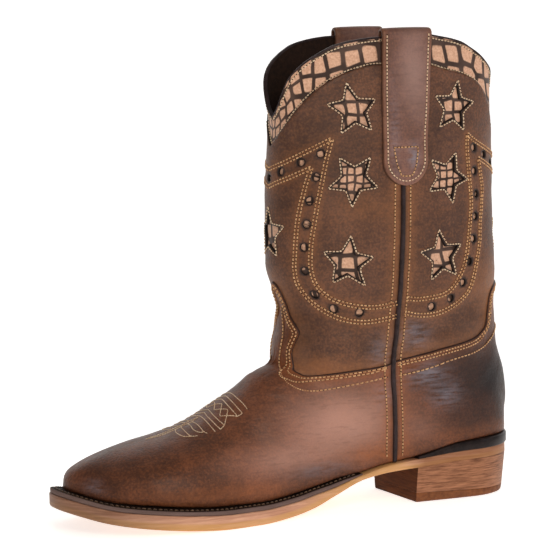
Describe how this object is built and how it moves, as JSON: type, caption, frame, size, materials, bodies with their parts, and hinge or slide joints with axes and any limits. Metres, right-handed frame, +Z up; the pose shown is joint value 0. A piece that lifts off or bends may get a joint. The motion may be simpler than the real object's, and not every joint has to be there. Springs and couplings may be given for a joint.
{
  "type": "western boot",
  "caption": "Short western boot for a left foot: hollow leather upper with star cut-outs, pull straps and side piping on a welted leather sole with a low stacked heel.",
  "frame": {"origin": "on the floor, under the middle of the boot's outline", "axes": "+X from toe to heel, +Y from the outer side of the foot to the inner side, +Z up"},
  "size_m": [0.2858, 0.098, 0.2771],
  "materials": {
    "sole_leather": "oiled veg-tan sole leather with a plain rubbed edge",
    "welt_leather": "dark dyed welt strip",
    "heel_leather": "stacked heel lifts, sanded and waxed",
    "lift_rubber": "brown heel rubber",
    "vamp_leather": "waxed pull-up leather, burnished at toe and heel",
    "shaft_leather": "waxed pull-up leather, rubbed along the seams",
    "strap_leather": "waxed strap leather",
    "piping_leather": "black-brown rolled piping",
    "lining_leather": "soft unfinished lining"
  },
  "bodies": {
    "root": {"outsole": "sole_leather", "welt": "welt_leather", "heel_rand": "welt_leather", "heel_stack": "heel_leather", "heel_top_lift": "lift_rubber", "upper": "vamp_leather", "insole": "lining_leather", "shaft_front_panel": "shaft_leather", "shaft_back_panel": "shaft_leather", "side_piping_lateral": "piping_leather", "side_piping_medial": "piping_leather", "pull_strap_lateral": "strap_leather", "pull_strap_medial": "strap_leather"}
  },
  "joints": []
}
